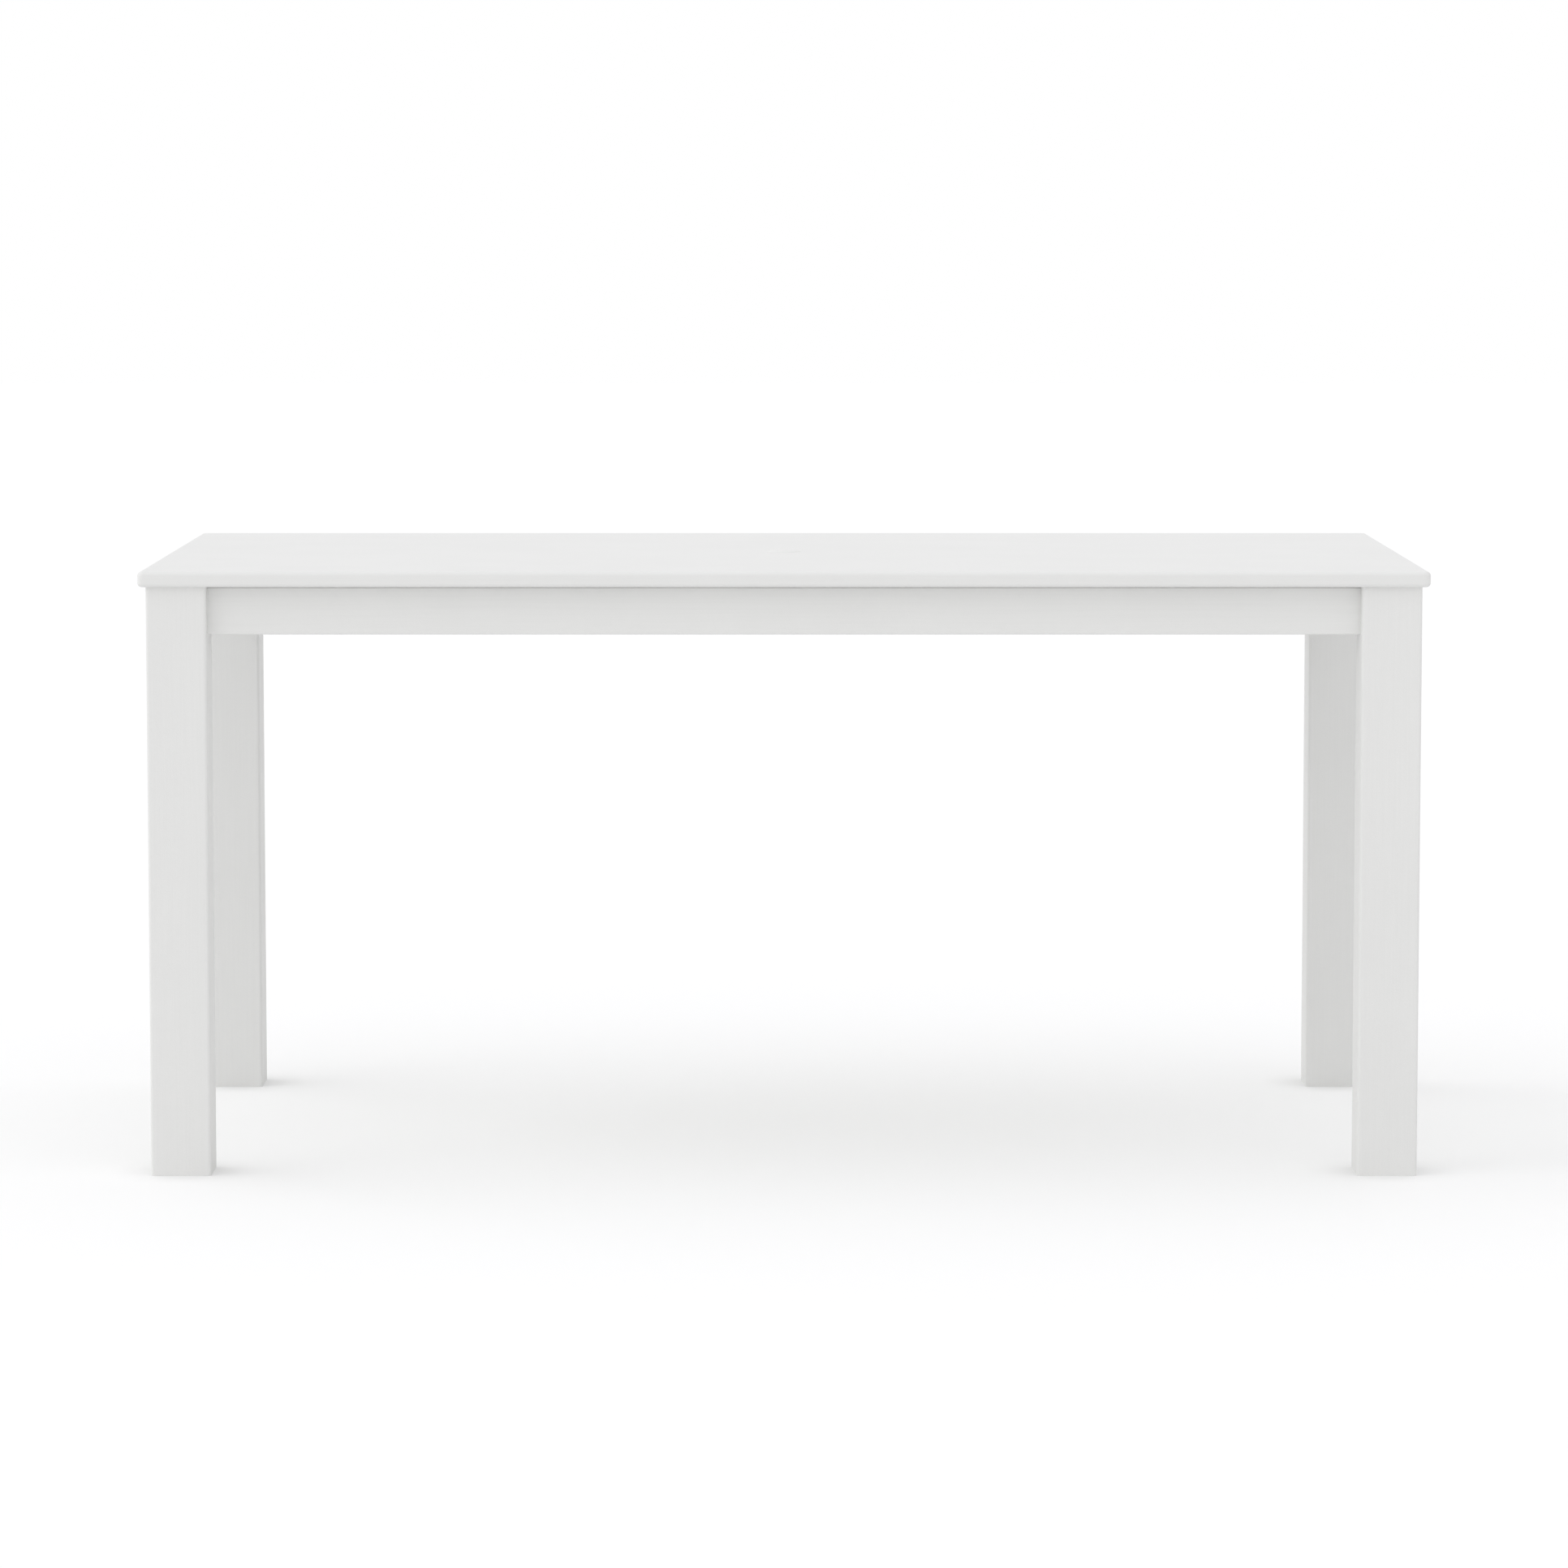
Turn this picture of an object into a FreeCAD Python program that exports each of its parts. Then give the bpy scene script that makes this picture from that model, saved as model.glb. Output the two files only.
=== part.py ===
import FreeCAD, Part
import math
import os

# A white parsons dining table: a one-piece top on four square posts, tied together by aprons that stand
# back from the posts' faces. A lift-out plug closes the umbrella hole in the middle of the top.
# Millimetres, +Z up. The origin is on the floor under the middle of the top. +X runs along the length
# and the front faces -Y.

# Top
top_length = 1600.0
top_width = 850.0
top_thickness = 19.0
table_height = 756.0
top_corner_radius = 8.0
top_edge_radius = 5.0
top_overhang = 9.5

# Legs. A flat on the hidden inner corner takes the hanger bolt, and runs out above the apron's lower edge.
leg_side = 75.0
leg_edge_radius = 4.0
leg_flat_depth = 12.0
leg_flat_stop = 4.0

# Aprons. They stand a little below the top, which bears on the legs and the cross rails.
apron_height = 58.8
apron_thickness = 19.0
apron_recess = 16.0
apron_edge_radius = 2.0
apron_gap = 1.5

# Cross rails, whose ends are let into the long aprons
rail_thickness = 19.0
rail_height = 48.0
rail_spacing = 620.0
rail_edge_radius = 3.0
housing_depth = 6.0
housing_clearance = 0.2
counterbore_diameter = 11.0
counterbore_depth = 28.0
counterbore_spacing = 400.0

# Umbrella hole, the block that doubles the top around it with a closer bore for the pole, and the plug
hole_diameter = 40.0
pole_bore_diameter = 39.0
block_side = 160.0
block_thickness = 19.0
block_corner_cut = 10.0
cap_diameter = 44.0
cap_thickness = 2.0
cap_rim_height = 0.5
cap_slope_width = 6.0
plug_depth = 12.0
plug_wall = 2.5
plug_roof = 3.0
plug_lead_in = 1.0
plug_clearance = 0.3

# Corner brackets: a bent plate whose two hooked ends hold in kerfs in the aprons
bracket_thickness = 3.0
bracket_height = 40.0
bracket_drop = 1.0
bracket_flange = 38.0
bracket_gap = 5.0
bend_radius = 1.0
hook_depth = 8.0
kerf_clearance = 0.2
screw_hole_diameter = 5.0

# Hanger bolts, with their washers and nuts
bolt_diameter = 8.0
bolt_bite = 45.0
bolt_point = 6.0
bolt_tail = 4.0
nut_across_flats = 13.0
nut_height = 6.5
washer_diameter = 16.0
washer_thickness = 1.6
bolt_clearance = 0.4
thread_clearance = 0.05

# Buttons that hold the top: blocks under it whose tongues sit in grooves in the aprons, with play endways
# and a gap at the shoulder so that the top can grow and shrink
button_width = 40.0
button_reach = 36.0
button_thickness = 19.0
button_bevel = 5.0
button_gap = 2.0
tongue_length = 9.0
tongue_height = 8.0
groove_drop = 10.0
groove_play = 3.0
groove_clearance = 0.2

# Heights and faces that follow from the sizes above
underside = table_height - top_thickness
apron_top = underside - apron_gap
apron_bottom = apron_top - apron_height
leg_outer_x = top_length / 2 - top_overhang
leg_outer_y = top_width / 2 - top_overhang
leg_inner_x = leg_outer_x - leg_side
leg_inner_y = leg_outer_y - leg_side
apron_inner_x = leg_outer_x - apron_recess - apron_thickness
apron_inner_y = leg_outer_y - apron_recess - apron_thickness
apron_setback = apron_inner_x - leg_inner_x
rail_x = rail_spacing / 2
rail_bottom = underside - rail_height
block_bottom = underside - block_thickness
hole_radius = hole_diameter / 2

# The corner bracket, measured along the diagonal from the leg's inner corner towards the table's middle
plate_outer = bracket_gap - leg_flat_depth
plate_inner = plate_outer + bracket_thickness
bracket_top = apron_top - bracket_drop
bracket_bottom = bracket_top - bracket_height
bolt_height = (bracket_top + bracket_bottom) / 2

# The same bracket, measured along the aprons from the leg's inner corner
flange_start = math.sqrt(2) * plate_outer + apron_setback
flange_start_inside = math.sqrt(2) * plate_inner + apron_setback - bracket_thickness
hook_outside = flange_start + bracket_flange
hook_inside = hook_outside - bracket_thickness
kerf_margin = bend_radius + kerf_clearance

corner_signs = {
    "front_left": (-1, -1),
    "front_right": (1, -1),
    "rear_left": (-1, 1),
    "rear_right": (1, 1),
}
up = FreeCAD.Vector(0, 0, 1)


# A closed flat face from corners given as (u, v, radius). place turns u and v into a point in space.
def rounded_face(corners, place):
    points = [place(u, v) for u, v, radius in corners]
    count = len(points)
    bends = []
    for i in range(count):
        radius = corners[i][2]
        back = (points[i - 1] - points[i]).normalize()
        ahead = (points[(i + 1) % count] - points[i]).normalize()
        half_angle = back.getAngle(ahead) / 2
        reach = radius / math.tan(half_angle)
        inwards = (back + ahead).normalize()
        middle = points[i] + inwards * (radius / math.sin(half_angle) - radius)
        bends.append((points[i] + back * reach, middle, points[i] + ahead * reach))
    edges = []
    for i in range(count):
        start, middle, end = bends[i]
        if corners[i][2] > 0:
            edges.append(Part.Arc(start, middle, end).toShape())
        following = bends[(i + 1) % count][0]
        if end.distanceToPoint(following) > 1e-6:
            edges.append(Part.makeLine(end, following))
    return Part.Face(Part.Wire(edges))


# Corners of a rectangle, all with one radius
def rectangle(u0, u1, v0, v1, radius):
    return [(u0, v0, radius), (u1, v0, radius), (u1, v1, radius), (u0, v1, radius)]


# A solid of revolution about an upright axis through the middle of the table, from (radius, height) corners
def turned(corners):
    face = rounded_face(corners, lambda r, z: FreeCAD.Vector(r, 0, z))
    return face.revolve(FreeCAD.Vector(0, 0, 0), up, 360)


# A point near one table corner: a and b run inwards along X and Y from the leg's inner corner.
def corner_point(signs, a, b, z):
    return FreeCAD.Vector(signs[0] * (leg_inner_x - a), signs[1] * (leg_inner_y - b), z)


# The same, measured along the corner's diagonal and across it
def diagonal_point(signs, along, across, z):
    return corner_point(signs, (along + across) / math.sqrt(2), (along - across) / math.sqrt(2), z)


def inward_diagonal(signs):
    return FreeCAD.Vector(-signs[0], -signs[1], 0).normalize()


# Turns a solid made along +Z at the origin to a given seat and direction
def stand(solid, seat, direction):
    solid.Placement = FreeCAD.Placement(seat, FreeCAD.Rotation(up, direction))
    return solid


# Where the buttons stand: a point on an apron's inner face under the top, and the way to the inside
def long_apron_seats(end):
    outer_x = (rail_x + leg_inner_x) / 2
    inside = FreeCAD.Vector(0, -end, 0)
    return [(FreeCAD.Vector(x, end * apron_inner_y, underside), inside) for x in (-outer_x, outer_x)]


def short_apron_seats(side):
    return [(FreeCAD.Vector(side * apron_inner_x, 0, underside), FreeCAD.Vector(-side, 0, 0))]


# The slab with rounded corners and edges, and its umbrella hole
def make_tabletop():
    plan = rectangle(-top_length / 2, top_length / 2, -top_width / 2, top_width / 2, top_corner_radius)
    slab = rounded_face(plan, lambda x, y: FreeCAD.Vector(x, y, underside)).extrude(up * top_thickness)
    rims = [edge for edge in slab.Edges if edge.BoundBox.ZLength < 1e-6]
    slab = slab.makeFillet(top_edge_radius, rims)
    hole = Part.makeCylinder(hole_radius, top_thickness, FreeCAD.Vector(0, 0, underside))
    return slab.cut(hole)


# The plug: a low cap that slopes to a thin rim on the top's surface, over a hollow skirt that drops into
# the hole
def make_plug():
    rim = cap_diameter / 2
    skirt = hole_radius - plug_clearance
    bottom = table_height - plug_depth
    cap_top = table_height + cap_thickness
    roof = cap_top - plug_roof
    return turned([
        (0, cap_top, 0),
        (rim - cap_slope_width, cap_top, 0),
        (rim, table_height + cap_rim_height, 0),
        (rim, table_height, 0),
        (skirt, table_height, 0),
        (skirt, bottom + plug_lead_in, 0),
        (skirt - plug_lead_in, bottom, 0),
        (skirt - plug_wall, bottom, 0),
        (skirt - plug_wall, roof, 0),
        (0, roof, 0),
    ])


# The square block with cut corners under the top, which gives the umbrella pole a second bearing
def make_block():
    corner = FreeCAD.Vector(-block_side / 2, -block_side / 2, block_bottom)
    block = Part.makeBox(block_side, block_side, block_thickness, corner)
    uprights = [edge for edge in block.Edges if edge.BoundBox.ZLength > block_thickness / 2]
    block = block.makeChamfer(block_corner_cut, uprights)
    bore = Part.makeCylinder(pole_bore_diameter / 2, block_thickness, FreeCAD.Vector(0, 0, block_bottom))
    return block.cut(bore)


# A square post with rounded edges, the flat on its inner corner and the hole for the hanger bolt
def make_leg(signs):
    plan = rectangle(-leg_side, 0, -leg_side, 0, leg_edge_radius)
    post = rounded_face(plan, lambda a, b: corner_point(signs, a, b, 0)).extrude(up * underside)
    low = apron_bottom + leg_flat_stop
    flat = rounded_face(
        [
            (-leg_flat_depth, low + leg_flat_depth, 0),
            (0, low, 0),
            (leg_flat_depth, low, 0),
            (leg_flat_depth, underside, 0),
            (-leg_flat_depth, underside, 0),
        ],
        lambda along, z: diagonal_point(signs, along, -leg_side, z),
    )
    width = diagonal_point(signs, 0, leg_side, 0) - diagonal_point(signs, 0, -leg_side, 0)
    hole = Part.makeCylinder(
        bolt_diameter / 2 + thread_clearance,
        leg_flat_depth + bolt_bite + thread_clearance,
        diagonal_point(signs, 0, 0, bolt_height),
        inward_diagonal(signs) * -1,
    )
    return post.cut([flat.extrude(width), hole])


# A board between two legs with eased edges. Its inner face has kerfs for the bracket hooks, housings for
# the cross rails and grooves for the buttons.
def make_long_apron(end):
    face_y = apron_inner_y + apron_thickness
    section = rectangle(apron_inner_y, face_y, apron_bottom, apron_top, apron_edge_radius)
    board = rounded_face(section, lambda y, z: FreeCAD.Vector(-leg_inner_x, end * y, z))
    board = board.extrude(FreeCAD.Vector(2 * leg_inner_x, 0, 0))
    kerfs = [make_kerf((side, end), True) for side in (-1, 1)]
    housings = [make_housing(side, end) for side in (-1, 1)]
    grooves = [make_groove(*seat) for seat in long_apron_seats(end)]
    return board.cut(kerfs + housings + grooves)


# The same across an end of the table, where there is no rail
def make_short_apron(side):
    face_x = apron_inner_x + apron_thickness
    section = rectangle(apron_inner_x, face_x, apron_bottom, apron_top, apron_edge_radius)
    board = rounded_face(section, lambda x, z: FreeCAD.Vector(side * x, -leg_inner_y, z))
    board = board.extrude(FreeCAD.Vector(0, 2 * leg_inner_y, 0))
    kerfs = [make_kerf((side, end), False) for end in (-1, 1)]
    grooves = [make_groove(*seat) for seat in short_apron_seats(side)]
    return board.cut(kerfs + grooves)


# The slot for one hook, open at the apron's upper edge
def make_kerf(signs, in_long_apron):
    bottom = bracket_bottom - kerf_clearance
    across = (hook_inside - kerf_margin, hook_outside + kerf_margin)
    depth = (-apron_setback - hook_depth - kerf_clearance, bracket_thickness - apron_setback)

    def place(u, v):
        if in_long_apron:
            return corner_point(signs, u, v, bottom)
        return corner_point(signs, v, u, bottom)

    return rounded_face(rectangle(*across, *depth, 0), place).extrude(up * (underside - bottom))


# The section of a cross rail, grown by a clearance. Its upper edges are square, where they bear on the top.
def rail_section(clearance):
    half = rail_thickness / 2 + clearance
    low = rail_bottom - clearance
    round_off = rail_edge_radius + clearance
    return [
        (-half, low, round_off),
        (half, low, round_off),
        (half, underside, 0),
        (-half, underside, 0),
    ]


# The recess for the end of a cross rail, open at the apron's upper edge
def make_housing(side, end):
    profile = rail_section(housing_clearance)
    face = rounded_face(profile, lambda x, z: FreeCAD.Vector(side * rail_x + x, end * apron_inner_y, z))
    return face.extrude(FreeCAD.Vector(0, end * (housing_depth + housing_clearance), 0))


# The groove for one button's tongue, wider than the tongue by the play at both ends
def make_groove(seat, inside):
    along = up.cross(inside)
    width = button_width + 2 * groove_play
    start = seat - along * (width / 2)
    depth = tongue_length + groove_clearance
    low = -groove_drop - tongue_height - groove_clearance
    section = rectangle(-depth, 0, low, -groove_drop, 0)
    return rounded_face(section, lambda u, v: start + inside * u + up * v).extrude(along * width)


# A stiffener on edge under the top, counterbored for the screws that go up into the top
def make_rail(side):
    half_length = apron_inner_y + housing_depth
    board = rounded_face(rail_section(0), lambda x, z: FreeCAD.Vector(side * rail_x + x, -half_length, z))
    board = board.extrude(FreeCAD.Vector(0, 2 * half_length, 0))
    bores = []
    for step in (-1, 1):
        mouth = FreeCAD.Vector(side * rail_x, step * counterbore_spacing / 2, rail_bottom)
        bores.append(Part.makeCylinder(counterbore_diameter / 2, counterbore_depth, mouth))
    return board.cut(bores)


# The bent plate across a corner: two flanges on the aprons' inner faces, with hooks in the kerfs
def make_bracket(signs):
    seat = -apron_setback
    face = seat + bracket_thickness
    tip = seat - hook_depth
    outer_bend = bend_radius + bracket_thickness
    half_outside = [
        (hook_inside, tip, 0),
        (hook_inside, seat, bend_radius),
        (flange_start, seat, outer_bend),
    ]
    half_inside = [
        (flange_start_inside, face, bend_radius),
        (hook_outside, face, outer_bend),
        (hook_outside, tip, 0),
    ]
    outside = half_outside + [(b, a, radius) for a, b, radius in reversed(half_outside)]
    inside = [(b, a, radius) for a, b, radius in reversed(half_inside)] + half_inside
    outline = rounded_face(outside + inside, lambda a, b: corner_point(signs, a, b, bracket_bottom))
    plate = outline.extrude(up * bracket_height)
    bolt_hole = Part.makeCylinder(
        bolt_diameter / 2 + bolt_clearance,
        2 * bracket_thickness,
        diagonal_point(signs, plate_outer - bracket_thickness / 2, 0, bolt_height),
        inward_diagonal(signs),
    )
    middle = (flange_start + hook_outside) / 2
    screw_seats = [
        (corner_point(signs, middle, face, bolt_height), FreeCAD.Vector(0, signs[1], 0)),
        (corner_point(signs, face, middle, bolt_height), FreeCAD.Vector(signs[0], 0, 0)),
    ]
    screw_holes = [
        Part.makeCylinder(screw_hole_diameter / 2, bracket_thickness, *seat) for seat in screw_seats
    ]
    return plate.cut([bolt_hole] + screw_holes)


# A block under the top with a tongue at the apron's side and a bevelled lower edge at the other
def make_button(seat, inside):
    along = up.cross(inside)
    start = seat - along * (button_width / 2)
    profile = [
        (button_gap, 0, 0),
        (button_reach, 0, 0),
        (button_reach, button_bevel - button_thickness, 0),
        (button_reach - button_bevel, -button_thickness, 0),
        (button_gap, -button_thickness, 0),
        (button_gap, -groove_drop - tongue_height, 0),
        (-tongue_length, -groove_drop - tongue_height, 0),
        (-tongue_length, -groove_drop, 0),
        (button_gap, -groove_drop, 0),
    ]
    return rounded_face(profile, lambda u, v: start + inside * u + up * v).extrude(along * button_width)


# One hanger bolt with its washer and nut, as separate solids along the corner's diagonal
def make_bolt(signs):
    radius = bolt_diameter / 2
    reach = leg_flat_depth + bolt_bite + plate_inner + washer_thickness + nut_height + bolt_tail
    bolt = turned([
        (0, 0, 0),
        (radius, bolt_point, 0),
        (radius, reach, 0),
        (0, reach, 0),
    ])
    tip = diagonal_point(signs, -leg_flat_depth - bolt_bite, 0, bolt_height)
    return stand(bolt, tip, inward_diagonal(signs))


def make_washer(signs):
    disc = Part.makeCylinder(washer_diameter / 2, washer_thickness)
    hole = Part.makeCylinder(bolt_diameter / 2 + bolt_clearance, washer_thickness)
    return stand(disc.cut(hole), diagonal_point(signs, plate_inner, 0, bolt_height), inward_diagonal(signs))


def make_nut(signs):
    side = nut_across_flats / math.sqrt(3)
    turns = [math.radians(60 * i) for i in range(6)]
    hexagon = [(side * math.cos(turn), side * math.sin(turn), 0) for turn in turns]
    prism = rounded_face(hexagon, lambda x, y: FreeCAD.Vector(x, y, 0)).extrude(up * nut_height)
    hole = Part.makeCylinder(bolt_diameter / 2 + thread_clearance, nut_height)
    seat = diagonal_point(signs, plate_inner + washer_thickness, 0, bolt_height)
    return stand(prism.cut(hole), seat, inward_diagonal(signs))


def save(name, solids):
    shape = solids[0] if len(solids) == 1 else Part.makeCompound(solids)
    if not shape.isValid() or len(shape.Solids) != len(solids):
        raise ValueError(f"{name} is not {len(solids)} sound solids")
    shape.exportStep(f"parts/{name}.step")
    print(f"{name}: {len(solids)} solids, {shape.Volume / 1000:.1f} cm3")


def main():
    os.makedirs("parts", exist_ok=True)
    save("tabletop", [make_tabletop()])
    save("umbrella_plug", [make_plug()])
    save("umbrella_block", [make_block()])
    for name, signs in corner_signs.items():
        save(f"leg_{name}", [make_leg(signs)])
        save(f"corner_bracket_{name}", [make_bracket(signs)])
    save("front_apron", [make_long_apron(-1)])
    save("rear_apron", [make_long_apron(1)])
    save("left_apron", [make_short_apron(-1)])
    save("right_apron", [make_short_apron(1)])
    save("left_cross_rail", [make_rail(-1)])
    save("right_cross_rail", [make_rail(1)])
    seats = [seat for sign in (-1, 1) for seat in long_apron_seats(sign) + short_apron_seats(sign)]
    save("top_buttons", [make_button(*seat) for seat in seats])
    save("hanger_bolts", [make_bolt(signs) for signs in corner_signs.values()])
    save("hanger_washers", [make_washer(signs) for signs in corner_signs.values()])
    save("hanger_nuts", [make_nut(signs) for signs in corner_signs.values()])


main()
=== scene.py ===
import math
import bmesh
import bpy
from mathutils import Matrix, Vector


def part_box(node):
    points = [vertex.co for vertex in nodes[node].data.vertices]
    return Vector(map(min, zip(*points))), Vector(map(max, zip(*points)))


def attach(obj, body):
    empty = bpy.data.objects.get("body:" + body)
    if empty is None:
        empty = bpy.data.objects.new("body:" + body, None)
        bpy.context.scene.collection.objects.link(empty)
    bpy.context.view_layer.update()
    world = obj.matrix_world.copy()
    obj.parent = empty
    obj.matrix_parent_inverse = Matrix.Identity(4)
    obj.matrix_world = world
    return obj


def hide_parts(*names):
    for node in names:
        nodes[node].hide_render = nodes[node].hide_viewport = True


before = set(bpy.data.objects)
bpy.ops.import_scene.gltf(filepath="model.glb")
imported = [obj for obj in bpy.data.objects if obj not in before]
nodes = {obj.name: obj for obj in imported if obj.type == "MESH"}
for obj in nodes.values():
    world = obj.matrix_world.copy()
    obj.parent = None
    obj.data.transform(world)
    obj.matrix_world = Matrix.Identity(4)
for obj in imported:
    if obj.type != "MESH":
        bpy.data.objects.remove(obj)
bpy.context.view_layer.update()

mm = 0.001
scene = bpy.context.scene
print("frame loaded:", len(nodes), "nodes")


# One node of a shader tree, with its settings and the values of its sockets
def shaderNode(tree, kind, settings=None, **values):
    node = tree.nodes.new(kind)
    for key, value in (settings or {}).items():
        setattr(node, key, value)
    for key, value in values.items():
        node.inputs[key].default_value = value
    return node


# A fresh material with its main shader and the point on the piece, in metres
def newFinish(name):
    material = bpy.data.materials.new(name)
    material.use_nodes = True
    tree = material.node_tree
    shader = tree.nodes["Principled BSDF"]
    point = shaderNode(tree, "ShaderNodeTexCoord").outputs["Object"]
    return material, tree, shader, point


# Joins a finish's colour, roughness and relief to its shader
def joinFinish(tree, shader, colour, roughness, normal):
    tree.links.new(colour, shader.inputs["Base Color"])
    tree.links.new(roughness, shader.inputs["Roughness"])
    tree.links.new(normal, shader.inputs["Normal"])


noiseRange = (0.3, 0.7)  # where nearly all of a noise's values lie


# Noise with features of about the given size, drawn out along the piece by the stretch
def noiseOf(tree, point, size, stretch=(1, 1, 1), detail=2.0):
    scale = [1 / (size * times) for times in stretch]
    mapping = shaderNode(tree, "ShaderNodeMapping", Scale=scale)
    tree.links.new(point, mapping.inputs["Vector"])
    noise = shaderNode(tree, "ShaderNodeTexNoise", Scale=1.0, Detail=detail)
    tree.links.new(mapping.outputs["Vector"], noise.inputs["Vector"])
    return noise.outputs["Fac"]


# Spreads a noise between two values
def spread(tree, source, low, high):
    ends = {"From Min": noiseRange[0], "From Max": noiseRange[1], "To Min": low, "To Max": high}
    ranged = shaderNode(tree, "ShaderNodeMapRange", **ends)
    tree.links.new(source, ranged.inputs["Value"])
    return ranged.outputs["Result"]


# Goes from one colour to another between two places on the source's scale
def ramped(tree, source, places, colours):
    ramp = shaderNode(tree, "ShaderNodeValToRGB")
    for stop, place, colour in zip(ramp.color_ramp.elements, places, colours):
        stop.position = place
        stop.color = (*colour, 1)
    tree.links.new(source, ramp.inputs["Fac"])
    return ramp.outputs["Color"]


# A colour made darker or lighter
def toned(colour, times):
    return [channel * times for channel in colour]


# A colour that drifts a little to both sides of the given one
def drifting(tree, source, colour, drift):
    return ramped(tree, source, noiseRange, (toned(colour, 1 - drift), toned(colour, 1 + drift)))


# A colour from other nodes, made a little darker and lighter by a noise
def mottled(tree, colour, source, amount):
    scaled = shaderNode(tree, "ShaderNodeVectorMath", {"operation": "SCALE"})
    tree.links.new(colour, scaled.inputs["Vector"])
    tree.links.new(spread(tree, source, 1 - amount, 1 + amount), scaled.inputs["Scale"])
    return scaled.outputs["Vector"]


# Relief of the given depth over an earlier one
def relief(tree, source, depth, below=None):
    bump = shaderNode(tree, "ShaderNodeBump", Strength=1.0, Distance=depth)
    tree.links.new(source, bump.inputs["Height"])
    if below:
        tree.links.new(below, bump.inputs["Normal"])
    return bump.outputs["Normal"]


whitePlastic = {
    "colour": (0.76, 0.76, 0.745),
    "drift": 0.008,
    "cloudSize": 120 * mm,
    "cloudDetail": 3.0,
    "grainSize": 0.9 * mm,
    "grainDepth": 0.09 * mm,
    "grainTone": 0.010,
    "streakSize": 2.2 * mm,
    "streakStretch": 60,
    "streakDepth": 0.03 * mm,
    "streakTone": 0.008,
    "roughness": (0.58, 0.68),
    "specular": 0.30,
}


# Matte white board: fine grained skin with faint lines along its length
def boardFinish(name, along):
    values = whitePlastic
    material, tree, shader, point = newFinish(name)
    stretch = [values["streakStretch"] if axis == along else 1 for axis in "XYZ"]
    cloud = noiseOf(tree, point, values["cloudSize"], detail=values["cloudDetail"])
    grain = noiseOf(tree, point, values["grainSize"])
    streak = noiseOf(tree, point, values["streakSize"], stretch)
    colour = drifting(tree, cloud, values["colour"], values["drift"])
    colour = mottled(tree, colour, streak, values["streakTone"])
    colour = mottled(tree, colour, grain, values["grainTone"])
    roughness = spread(tree, streak, *values["roughness"])
    lines = relief(tree, streak, values["streakDepth"])
    joinFinish(tree, shader, colour, roughness, relief(tree, grain, values["grainDepth"], lines))
    shader.inputs["Specular IOR Level"].default_value = values["specular"]
    return material


mouldedPlastic = {
    "colour": (0.76, 0.76, 0.745),
    "drift": 0.006,
    "cloudSize": 15 * mm,
    "stippleSize": 0.4 * mm,
    "stippleDepth": 0.02 * mm,
    "roughness": (0.52, 0.60),
    "specular": 0.25,
}


# The plug's moulded plastic, with the even stipple of its mould
def mouldedFinish():
    values = mouldedPlastic
    material, tree, shader, point = newFinish("whiteMoulding")
    cloud = noiseOf(tree, point, values["cloudSize"])
    stipple = noiseOf(tree, point, values["stippleSize"])
    colour = drifting(tree, cloud, values["colour"], values["drift"])
    roughness = spread(tree, stipple, *values["roughness"])
    joinFinish(tree, shader, colour, roughness, relief(tree, stipple, values["stippleDepth"]))
    shader.inputs["Specular IOR Level"].default_value = values["specular"]
    return material


sheetSteel = {
    "colour": (0.60, 0.60, 0.59),
    "drift": 0.08,
    "lineSize": 0.35 * mm,
    "lineStretch": 80,
    "lineDepth": 0.01 * mm,
    "blotchSize": 12 * mm,
    "blotchDetail": 5.0,
    "roughness": (0.30, 0.46),
    "metallic": 1.0,
}


# Rolled sheet: fine level lines and a blotchy dull skin
def sheetFinish():
    values = sheetSteel
    material, tree, shader, point = newFinish("bracketSteel")
    stretch = (values["lineStretch"], values["lineStretch"], 1)
    lines = noiseOf(tree, point, values["lineSize"], stretch)
    blotch = noiseOf(tree, point, values["blotchSize"], detail=values["blotchDetail"])
    colour = drifting(tree, blotch, values["colour"], values["drift"])
    roughness = spread(tree, lines, *values["roughness"])
    joinFinish(tree, shader, colour, roughness, relief(tree, lines, values["lineDepth"]))
    shader.inputs["Metallic"].default_value = values["metallic"]
    return material


fastenerSteel = {
    "colour": (0.66, 0.66, 0.64),
    "drift": 0.10,
    "blotchSize": 2.5 * mm,
    "blotchDetail": 4.0,
    "pitSize": 0.25 * mm,
    "pitDepth": 0.01 * mm,
    "roughness": (0.24, 0.40),
    "metallic": 1.0,
}


# Plain bright fasteners, a little blotchy and pitted
def fastenerFinish():
    values = fastenerSteel
    material, tree, shader, point = newFinish("fastenerSteel")
    blotch = noiseOf(tree, point, values["blotchSize"], detail=values["blotchDetail"])
    pits = noiseOf(tree, point, values["pitSize"])
    colour = drifting(tree, blotch, values["colour"], values["drift"])
    roughness = spread(tree, blotch, *values["roughness"])
    joinFinish(tree, shader, colour, roughness, relief(tree, pits, values["pitDepth"]))
    shader.inputs["Metallic"].default_value = values["metallic"]
    return material


finishes = {
    "alongX": boardFinish("whiteBoardLong", "X"),
    "alongY": boardFinish("whiteBoardCross", "Y"),
    "upright": boardFinish("whitePost", "Z"),
    "moulding": mouldedFinish(),
    "sheet": sheetFinish(),
    "fastener": fastenerFinish(),
}

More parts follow.
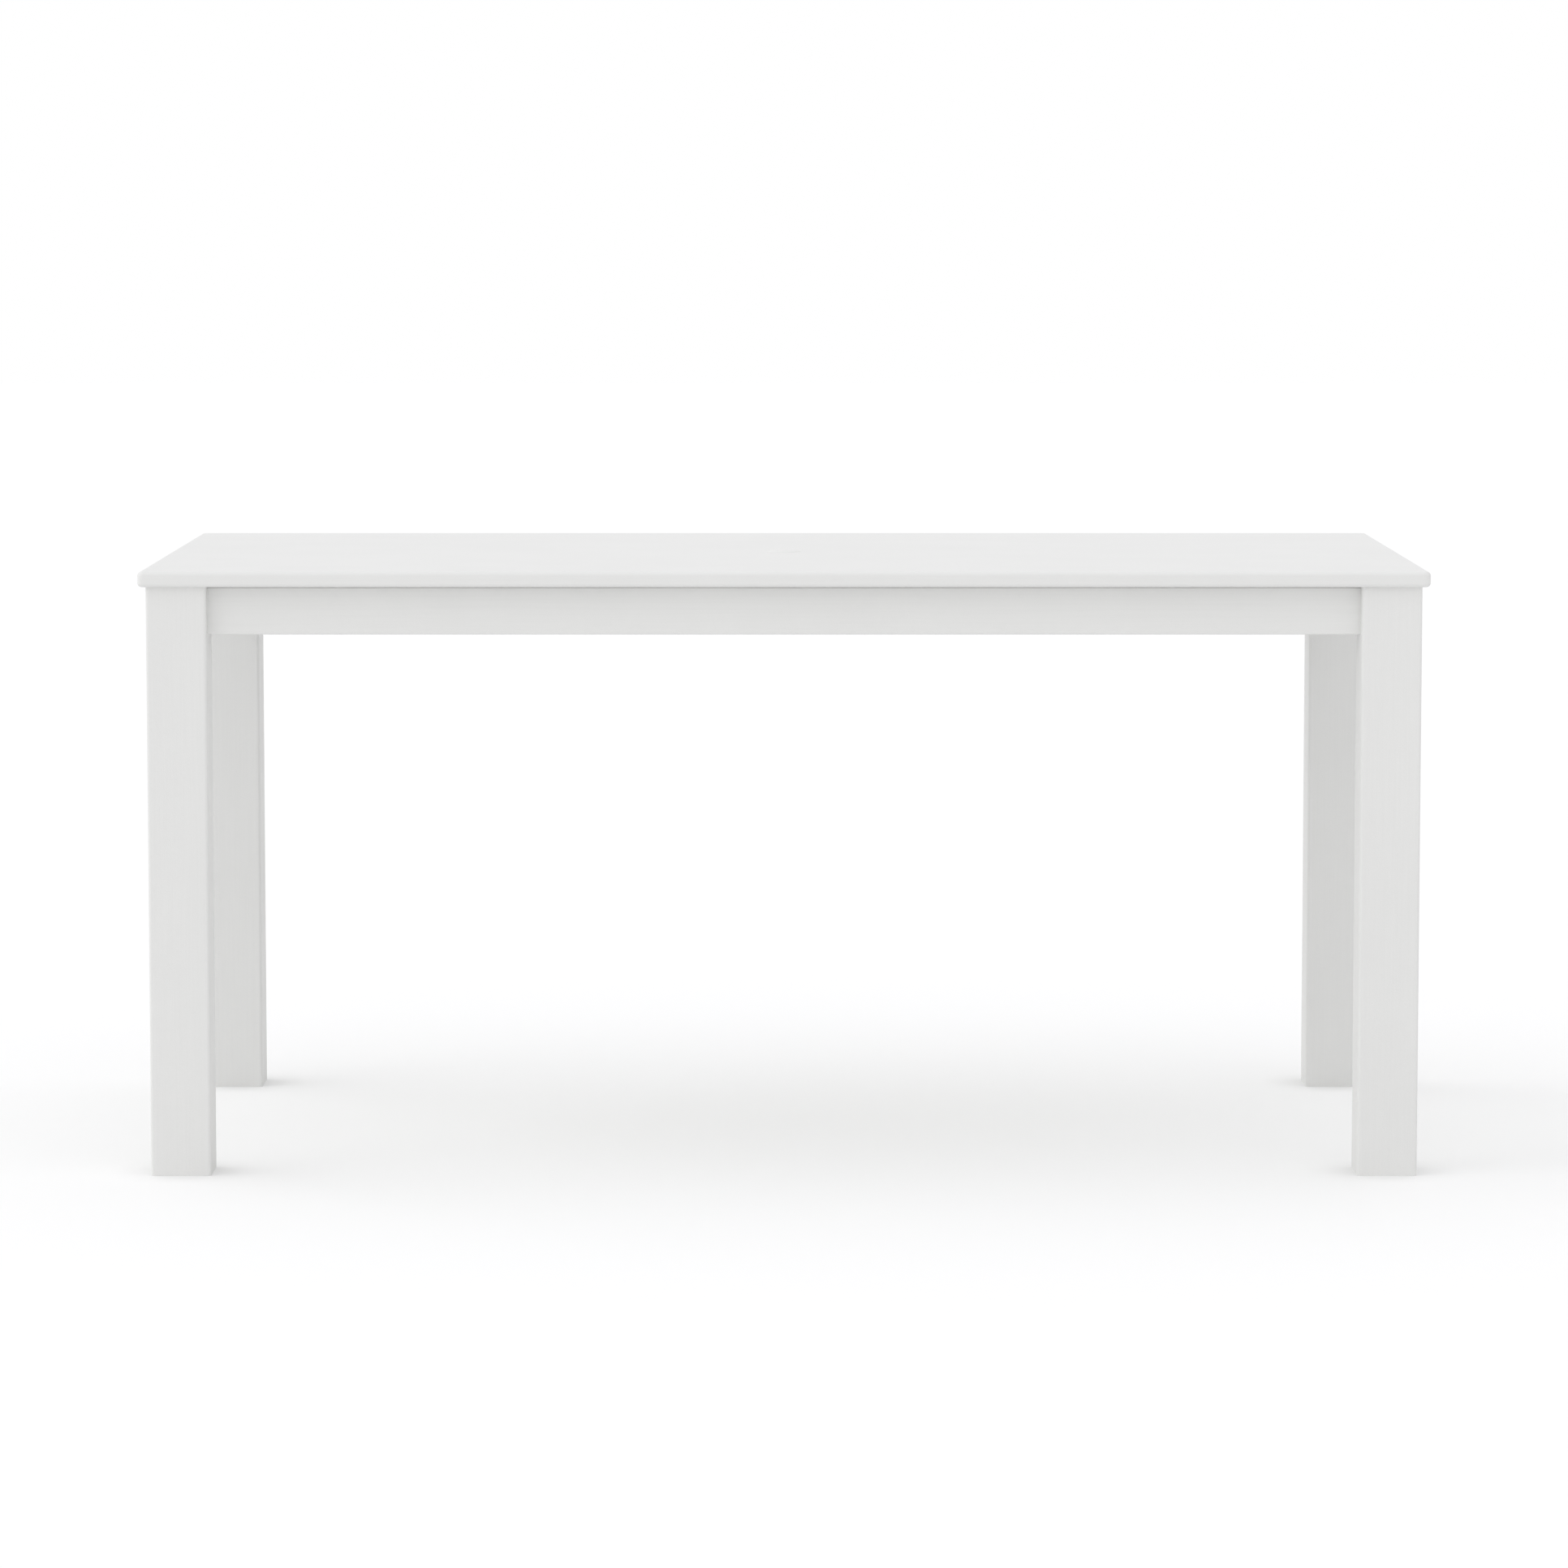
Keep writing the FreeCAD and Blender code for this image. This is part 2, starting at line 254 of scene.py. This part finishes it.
# Which finish each carried-over solid wears; the legs are upright boards, and the brackets are sheet
finishOfNode = {
    "tabletop": "alongX",
    "umbrella_block": "alongX",
    "front_apron": "alongX",
    "rear_apron": "alongX",
    "left_apron": "alongY",
    "right_apron": "alongY",
    "left_cross_rail": "alongY",
    "right_cross_rail": "alongY",
    "top_buttons": "alongX",
    "umbrella_plug": "moulding",
    "hanger_bolts": "fastener",
    "hanger_washers": "fastener",
    "hanger_nuts": "fastener",
}
for name, node in nodes.items():
    finish = finishOfNode.get(name, "upright" if name.startswith("leg_") else "sheet")
    node.data.materials.clear()
    node.data.materials.append(finishes[finish])
print("finishes:", ", ".join(finishes))

smoothAngle = math.radians(35)  # edges sharper than this stay crisp


# Turns the finished bmesh into a piece that rides on a body
def makePiece(name, mesh, finish, slot, body, *replaced):
    bmesh.ops.recalc_face_normals(mesh, faces=mesh.faces)
    for face in mesh.faces:
        face.smooth = True
    for edge in mesh.edges:
        edge.smooth = edge.calc_face_angle(0) < smoothAngle
    data = bpy.data.meshes.new(name)
    mesh.to_mesh(data)
    mesh.free()
    data.materials.append(finishes[finish])
    piece = bpy.data.objects.new(name, data)
    scene.collection.objects.link(piece)
    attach(piece, body)
    if replaced:
        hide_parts(*replaced)
    print("piece:", name, len(data.polygons), "faces")


# A matrix that stands a part made along +Z at a seat, pointing the given way
def standing(seat, direction):
    return Matrix.Translation(seat) @ Vector(direction).to_track_quat("Z", "Y").to_matrix().to_4x4()


# Adds a ring of points about the Z axis of a place, one (radius, height) for each step of the turn
def addRing(mesh, place, steps):
    ring = []
    for i, (radius, height) in enumerate(steps):
        angle = 2 * math.pi * i / len(steps)
        point = Vector((radius * math.cos(angle), radius * math.sin(angle), height))
        ring.append(mesh.verts.new(place @ point))
    return ring


# Adds the faces between two rings of points, one of which may be a single point
def bridge(mesh, lower, upper):
    count = max(len(lower), len(upper))
    for i in range(count):
        j = (i + 1) % count
        if len(lower) == 1:
            mesh.faces.new((lower[0], upper[j], upper[i]))
        elif len(upper) == 1:
            mesh.faces.new((lower[i], lower[j], upper[0]))
        else:
            mesh.faces.new((lower[i], lower[j], upper[j], upper[i]))


# Adds a turned form from (radius, height) points; a radius of 0 closes it on the axis
def turn(mesh, profile, place, segments):
    rings = []
    for radius, height in profile:
        count = segments if radius else 1
        rings.append(addRing(mesh, place, [(radius, height)] * count))
    for lower, upper in zip(rings, rings[1:]):
        bridge(mesh, lower, upper)
    return rings


weldDigits = 6  # points that agree to a thousandth of a millimetre are one


# The separate solids of a node, each as a list of points
def solidsOf(name):
    data = nodes[name].data
    keys = [tuple(round(measure, weldDigits) for measure in vertex.co) for vertex in data.vertices]
    leader = {key: key for key in keys}

    def find(key):
        while leader[key] != key:
            leader[key] = leader[leader[key]]
            key = leader[key]
        return key

    for polygon in data.polygons:
        first = find(keys[polygon.vertices[0]])
        for index in polygon.vertices:
            leader[find(keys[index])] = first
    groups = {}
    for key in leader:
        groups.setdefault(find(key), []).append(Vector(key))
    return list(groups.values())


def middleOf(points):
    low = [min(point[axis] for point in points) for axis in range(3)]
    high = [max(point[axis] for point in points) for axis in range(3)]
    return (Vector(low) + Vector(high)) / 2


# How far a solid reaches along a direction, from its near end to its far end
def spanOf(points, direction):
    reach = [point.dot(direction) for point in points]
    return min(reach), max(reach)


plugForm = {
    "segments": 72,
    "capHeight": 2.0 * mm,
    "rimHeight": 0.15 * mm,
    "slopeWidth": 10.0 * mm,
    "slopeSteps": 10,
    "skirtInset": 2.3 * mm,
    "leadIn": 1.0 * mm,
    "wall": 2.5 * mm,
    "roof": 3.0 * mm,
}


# The plug: a thin cap that falls off in an arc to its rim, over a hollow skirt with a lead-in
def makePlug():
    values = plugForm
    low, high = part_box("umbrella_plug")
    cap = (high.x - low.x) / 2
    skirt = cap - values["skirtInset"]
    shoulder = high.z - values["capHeight"]
    ceiling = high.z - values["roof"]
    slope = values["slopeWidth"]
    fall = values["capHeight"] - values["rimHeight"]
    bend = (slope ** 2 + fall ** 2) / (2 * fall)  # the arc leaves the flat level
    profile = [(0, high.z)]
    for step in range(values["slopeSteps"] + 1):
        reach = slope * step / values["slopeSteps"]
        profile.append((cap - slope + reach, high.z - bend + math.sqrt(bend ** 2 - reach ** 2)))
    profile += [
        (cap, shoulder),
        (skirt, shoulder),
        (skirt, low.z + values["leadIn"]),
        (skirt - values["leadIn"], low.z),
        (skirt - values["wall"], low.z),
        (skirt - values["wall"], ceiling),
        (0, ceiling),
    ]
    mesh = bmesh.new()
    turn(mesh, profile, Matrix.Identity(4), values["segments"])
    makePiece("umbrellaPlug", mesh, "moulding", "white_moulding", "plug", "umbrella_plug")


makePlug()

screwForm = {
    "segments": 32,
    "shank": 2.2 * mm,
    "length": 14.0 * mm,
    "point": 4.4 * mm,
    "head": 4.5 * mm,
    "height": 2.6 * mm,
    "headSide": 0.9 * mm,
    "headFlat": 2.7 * mm,
    "crownSteps": 4,
    "slotHalfWidth": 0.45 * mm,
    "slotHalfLength": 2.0 * mm,
    "slotDepth": 1.5 * mm,
    "slotTaper": 0.6,
}
down = Vector((0, 0, -1))


# A pan head screw with a cross recess, its head above the seat and its shank below
def addScrew(mesh, seat, outwards):
    values = screwForm
    place = standing(seat, outwards)
    head, height, side, flat = (values[key] for key in ("head", "height", "headSide", "headFlat"))
    profile = [
        (0, -values["length"]),
        (values["shank"], values["point"] - values["length"]),
        (values["shank"], 0),
        (head, 0),
    ]
    for step in range(values["crownSteps"] + 1):
        angle = math.pi / 2 * step / values["crownSteps"]
        profile.append((flat + (head - flat) * math.cos(angle), side + (height - side) * math.sin(angle)))
    rings = turn(mesh, profile, place, values["segments"])

    # The cross recess, from its outline on the head down to its narrower floor
    wide, long = values["slotHalfWidth"], values["slotHalfLength"]
    cross = []
    for quarter in range(4):
        turnBy = Matrix.Rotation(quarter * math.pi / 2, 3, "Z")
        for x, y in ((long, -wide), (long, wide), (wide, wide)):
            cross.append(turnBy @ Vector((x, y, 0)))
    crown = Vector((0, 0, height))
    floor = Vector((0, 0, height - values["slotDepth"]))
    rim = [mesh.verts.new(place @ (corner + crown)) for corner in cross]
    bottom = [mesh.verts.new(place @ (corner * values["slotTaper"] + floor)) for corner in cross]
    bridge(mesh, rim, bottom)
    mesh.faces.new(bottom)

    # The flat of the head round the recess
    edges = []
    for ring in (rings[-1], rim):
        edges += [mesh.edges.get((ring[i - 1], ring[i])) for i in range(len(ring))]
    bmesh.ops.triangle_fill(mesh, use_beauty=True, use_dissolve=False, edges=edges)


# One piece of like screws, from the seat of each head and the way that it faces
def makeScrews(name, places):
    mesh = bmesh.new()
    for seat, outwards in places:
        addScrew(mesh, seat, outwards)
    makePiece(name, mesh, "fastener", "fastener_steel", "table")


bracketScrews = {
    "flange": 38 * mm,
    "thickness": 3 * mm,
}


# One screw through each flange of the corner brackets, into the aprons
def bracketScrewPlaces():
    values = bracketScrews
    faceX = abs(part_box("left_apron")[1].x) - values["thickness"]  # the flanges' inner faces
    faceY = abs(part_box("front_apron")[1].y) - values["thickness"]
    places = []
    for name in nodes:
        if not name.startswith("corner_bracket_"):
            continue
        low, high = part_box(name)
        middle = (low + high) / 2
        sideX, sideY = math.copysign(1, middle.x), math.copysign(1, middle.y)
        flangeX = min(abs(low.x), abs(high.x)) + values["flange"] / 2
        flangeY = min(abs(low.y), abs(high.y)) + values["flange"] / 2
        places.append((Vector((sideX * flangeX, sideY * faceY, middle.z)), (0, -sideY, 0)))
        places.append((Vector((sideX * faceX, sideY * flangeY, middle.z)), (-sideX, 0, 0)))
    return places


makeScrews("bracketScrews", bracketScrewPlaces())

blockScrews = {"spacing": 110 * mm}


# Four screws up through the block into the top
def blockScrewPlaces():
    offset = blockScrews["spacing"] / 2
    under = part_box("umbrella_block")[0].z
    return [(Vector((x, y, under)), down) for x in (-offset, offset) for y in (-offset, offset)]


makeScrews("blockScrews", blockScrewPlaces())

railScrews = {"spacing": 400 * mm, "sunk": 28 * mm}


# Screws at the bottom of the rails' counterbores
def railScrewPlaces():
    offset = railScrews["spacing"] / 2
    places = []
    for name in ("left_cross_rail", "right_cross_rail"):
        low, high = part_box(name)
        for y in (-offset, offset):
            places.append((Vector(((low.x + high.x) / 2, y, low.z + railScrews["sunk"])), down))
    return places


makeScrews("railScrews", railScrewPlaces())

buttonScrews = {"fromEnd": 19 * mm, "nearAxis": 1 * mm}


# One screw up through each button into the top; the end aprons' buttons stand on the table's long axis
def buttonScrewPlaces():
    values = buttonScrews
    places = []
    for points in solidsOf("top_buttons"):
        middle = middleOf(points)
        under = min(point.z for point in points)
        onEndApron = abs(middle.y) < values["nearAxis"]
        outside = Vector((middle.x, 0, 0)) if onEndApron else Vector((0, middle.y, 0))
        inside = -outside.normalized()
        end = spanOf(points, inside)[1]
        seat = middle + inside * (end - values["fromEnd"] - middle.dot(inside))
        places.append((Vector((seat.x, seat.y, under)), down))
    return places


makeScrews("buttonScrews", buttonScrewPlaces())


# The place at a fastener's outer end, pointing along its corner's diagonal to the inside, and its length
def alongDiagonal(points):
    middle = middleOf(points)
    direction = Vector((-math.copysign(1, middle.x), -math.copysign(1, middle.y), 0)).normalized()
    near, far = spanOf(points, direction)
    return standing(middle + direction * (near - middle.dot(direction)), direction), far - near


boltForm = {
    "radius": 4.0 * mm,
    "pitch": 1.25 * mm,
    "threadDepth": 0.6 * mm,
    "rowsPerPitch": 6,
    "segments": 28,
    "threaded": 26 * mm,
    "point": 6.0 * mm,
    "endChamfer": 0.9 * mm,
}


# Hanger bolts: a plain shank in the leg and a machine thread on the end that takes the nut
def makeBolts():
    values = boltForm
    segments, radius, pitch = values["segments"], values["radius"], values["pitch"]
    rows = round(values["threaded"] / pitch * values["rowsPerPitch"])
    mesh = bmesh.new()
    for points in solidsOf("hanger_bolts"):
        place, length = alongDiagonal(points)
        start = length - values["threaded"]
        previous = turn(mesh, [(0, 0), (radius, values["point"]), (radius, start)], place, segments)[-1]
        for row in range(1, rows + 1):
            height = start + values["threaded"] * row / rows
            chamfer = max(0, values["endChamfer"] - (length - height))
            steps = []
            for i in range(segments):
                phase = (height / pitch - i / segments) % 1
                groove = values["threadDepth"] * abs(2 * phase - 1)
                steps.append((radius - max(groove, chamfer), height))
            ring = addRing(mesh, place, steps)
            bridge(mesh, previous, ring)
            previous = ring
        mesh.faces.new(previous)
    makePiece("hangerBolts", mesh, "fastener", "fastener_steel", "table", "hanger_bolts")


makeBolts()

washerForm = {
    "outer": 8.0 * mm,
    "inner": 4.4 * mm,
    "edge": 0.3 * mm,
    "segments": 48,
}


# Flat washers with the rolled edge of a stamping
def makeWashers():
    values = washerForm
    outer, inner, edge = values["outer"], values["inner"], values["edge"]
    roll = edge * (1 - math.sqrt(0.5))  # halfway round the rolled edge
    mesh = bmesh.new()
    for points in solidsOf("hanger_washers"):
        place, thick = alongDiagonal(points)
        rings = turn(mesh, [
            (inner, 0),
            (outer, 0),
            (outer, thick - edge),
            (outer - roll, thick - roll),
            (outer - edge, thick),
            (inner + edge, thick),
            (inner, thick - edge),
        ], place, values["segments"])
        bridge(mesh, rings[-1], rings[0])
    makePiece("hangerWashers", mesh, "fastener", "fastener_steel", "table", "hanger_washers")


makeWashers()

nutForm = {
    "acrossFlats": 13.0 * mm,
    "bore": 3.6 * mm,
    "boreMouth": 4.2 * mm,
    "bevel": 30.0,       # degrees
    "bevelStart": 0.97,  # share of the half width across the flats
    "segments": 72,
}


# Hexagon nuts, with the round bevel that a turned nut has on its corners
def makeNuts():
    values = nutForm
    count, bore, mouth = values["segments"], values["bore"], values["boreMouth"]
    lead = mouth - bore
    half = values["acrossFlats"] / 2
    flat = values["bevelStart"] * half
    slope = math.tan(math.radians(values["bevel"]))
    sixth = math.pi / 3

    # Distance from the axis to the hexagon's side at each angle, and how far the bevel cuts down there
    angles = [2 * math.pi * i / count for i in range(count)]
    sides = [half / math.cos((angle + sixth / 2) % sixth - sixth / 2) for angle in angles]
    drops = [max(0, side - flat) * slope for side in sides]
    mesh = bmesh.new()
    for points in solidsOf("hanger_nuts"):
        place, thick = alongDiagonal(points)
        place = place @ Matrix.Rotation(sixth / 2, 4, "Z")
        rows = [
            [(bore, lead)] * count,
            [(mouth, 0)] * count,
            [(flat, 0)] * count,
            list(zip(sides, drops)),
            [(side, thick - drop) for side, drop in zip(sides, drops)],
            [(flat, thick)] * count,
            [(mouth, thick)] * count,
            [(bore, thick - lead)] * count,
        ]
        rings = [addRing(mesh, place, row) for row in rows]
        for lower, upper in zip(rings, rings[1:] + rings[:1]):
            bridge(mesh, lower, upper)
    makePiece("hangerNuts", mesh, "fastener", "fastener_steel", "table", "hanger_nuts")


makeNuts()


# Light Path's camera, glossy and transmission rays taken together
def shownRays(tree):
    path = shaderNode(tree, "ShaderNodeLightPath")
    total = path.outputs["Is Camera Ray"]
    for name in ("Is Glossy Ray", "Is Transmission Ray"):
        larger = shaderNode(tree, "ShaderNodeMath", {"operation": "MAXIMUM"})
        tree.links.new(total, larger.inputs[0])
        tree.links.new(path.outputs[name], larger.inputs[1])
        total = larger.outputs["Value"]
    return total


studioFloor = {
    "size": 60.0,
    "colour": (0.90, 0.90, 0.90),
    "shownColour": (0.729, 0.729, 0.722),
    "shownGlow": 0.237,
    # The painted contact shadow on the floor: how far it reaches, over what openness it fades, and how
    # dark it gets
    "contactReach": 60 * mm,
    "contactRange": (0.5, 1.0),  # from half covered to open
    "contactShade": 0.165,
}


# The shown floor's colour with a painted contact shadow: darker where something stands close to it
def paintedContactShadow(tree):
    values = studioFloor
    shown = values["shownColour"]
    # Ambient occlusion sets where the painted shadow falls
    paintedShadowMask = shaderNode(tree, "ShaderNodeAmbientOcclusion", Distance=values["contactReach"])
    colours = (toned(shown, 1 - values["contactShade"]), shown)
    return ramped(tree, paintedShadowMask.outputs["AO"], values["contactRange"], colours)


# A pale floor that shows white where nothing shades it
def makeFloor():
    values = studioFloor
    half = values["size"] / 2
    mesh = bmesh.new()
    corners = ((-half, -half, 0), (half, -half, 0), (half, half, 0), (-half, half, 0))
    mesh.faces.new([mesh.verts.new(corner) for corner in corners])
    data = bpy.data.meshes.new("studioFloor")
    mesh.to_mesh(data)
    mesh.free()
    material = bpy.data.materials.new("studioFloor")
    material.use_nodes = True
    tree = material.node_tree
    tree.nodes.remove(tree.nodes["Principled BSDF"])
    plain = shaderNode(tree, "ShaderNodeBsdfDiffuse", Color=(*values["colour"], 1))
    shown = shaderNode(tree, "ShaderNodeBsdfDiffuse")
    glow = shaderNode(tree, "ShaderNodeEmission", Strength=values["shownGlow"])
    both = shaderNode(tree, "ShaderNodeAddShader")
    mix = shaderNode(tree, "ShaderNodeMixShader")
    # The shown colour carries the painted contact shadow round the feet
    tree.links.new(paintedContactShadow(tree), shown.inputs["Color"])
    tree.links.new(shown.outputs["BSDF"], both.inputs[0])
    tree.links.new(glow.outputs["Emission"], both.inputs[1])
    tree.links.new(shownRays(tree), mix.inputs["Fac"])
    tree.links.new(plain.outputs["BSDF"], mix.inputs[1])
    tree.links.new(both.outputs["Shader"], mix.inputs[2])
    tree.links.new(mix.outputs["Shader"], tree.nodes["Material Output"].inputs["Surface"])
    data.materials.append(material)
    floor = bpy.data.objects.new("studioFloor", data)
    scene.collection.objects.link(floor)


makeFloor()

studioWorld = {"colour": (1, 1, 1), "light": 0.833, "shown": 1.0}


# Even light from all round, shown as white behind the table
def makeWorld():
    colour = (*studioWorld["colour"], 1)
    world = bpy.data.worlds.new("studio")
    world.use_nodes = True
    tree = world.node_tree
    light = tree.nodes["Background"]
    light.inputs["Color"].default_value = colour
    light.inputs["Strength"].default_value = studioWorld["light"]
    shown = shaderNode(tree, "ShaderNodeBackground", Color=colour, Strength=studioWorld["shown"])
    mix = shaderNode(tree, "ShaderNodeMixShader")
    tree.links.new(shownRays(tree), mix.inputs["Fac"])
    tree.links.new(light.outputs["Background"], mix.inputs[1])
    tree.links.new(shown.outputs["Background"], mix.inputs[2])
    tree.links.new(mix.outputs["Shader"], tree.nodes["World Output"].inputs["Surface"])
    scene.world = world


makeWorld()

softLights = {
    "overhead": {"azimuth": 0, "elevation": 90, "strength": 0.37, "colour": (0.84, 0.84, 1.0)},
    "left": {"azimuth": -90, "elevation": 15, "strength": 1.01, "colour": (1.0, 1.0, 1.0)},
    "front": {"azimuth": 0, "elevation": 20, "strength": 0.22, "colour": (1.0, 1.0, 1.0)},
}
lightSpread = math.radians(90)


# Wide soft lights from far off; azimuth 0 stands before the table and 90 at its right-hand end
def makeLights():
    for name, values in softLights.items():
        lamp = bpy.data.lights.new(name, "SUN")
        lamp.angle = lightSpread
        lamp.energy = values["strength"]
        lamp.color = values["colour"]
        light = bpy.data.objects.new(name, lamp)
        azimuth, elevation = math.radians(values["azimuth"]), math.radians(values["elevation"])
        level = math.cos(elevation)
        towards = Vector((math.sin(azimuth) * level, -math.cos(azimuth) * level, math.sin(elevation)))
        light.rotation_euler = towards.to_track_quat("Z", "Y").to_euler()
        scene.collection.objects.link(light)


makeLights()
print("studio: floor, world,", len(softLights), "soft lights")

photoCamera = {
    "lens": 140.13,      # millimetres, as the sensor's width
    "sensor": 36.0,
    "distance": 7.9549,  # from the middle of the table
    "height": 1.2345,
    "pitch": 5.624,      # degrees below level
    "clipEnd": 200.0,
}


# The camera, square to the table's long side
def makeCamera():
    values = photoCamera
    data = bpy.data.cameras.new("photoCamera")
    data.lens = values["lens"]
    data.sensor_width = values["sensor"]
    data.clip_end = values["clipEnd"]
    camera = bpy.data.objects.new("photoCamera", data)
    camera.location = (0, -values["distance"], values["height"])
    camera.rotation_euler = (math.radians(90 - values["pitch"]), 0, 0)
    scene.collection.objects.link(camera)
    scene.camera = camera


makeCamera()
scene.view_settings.view_transform = "Standard"
print("camera:", scene.camera.name)
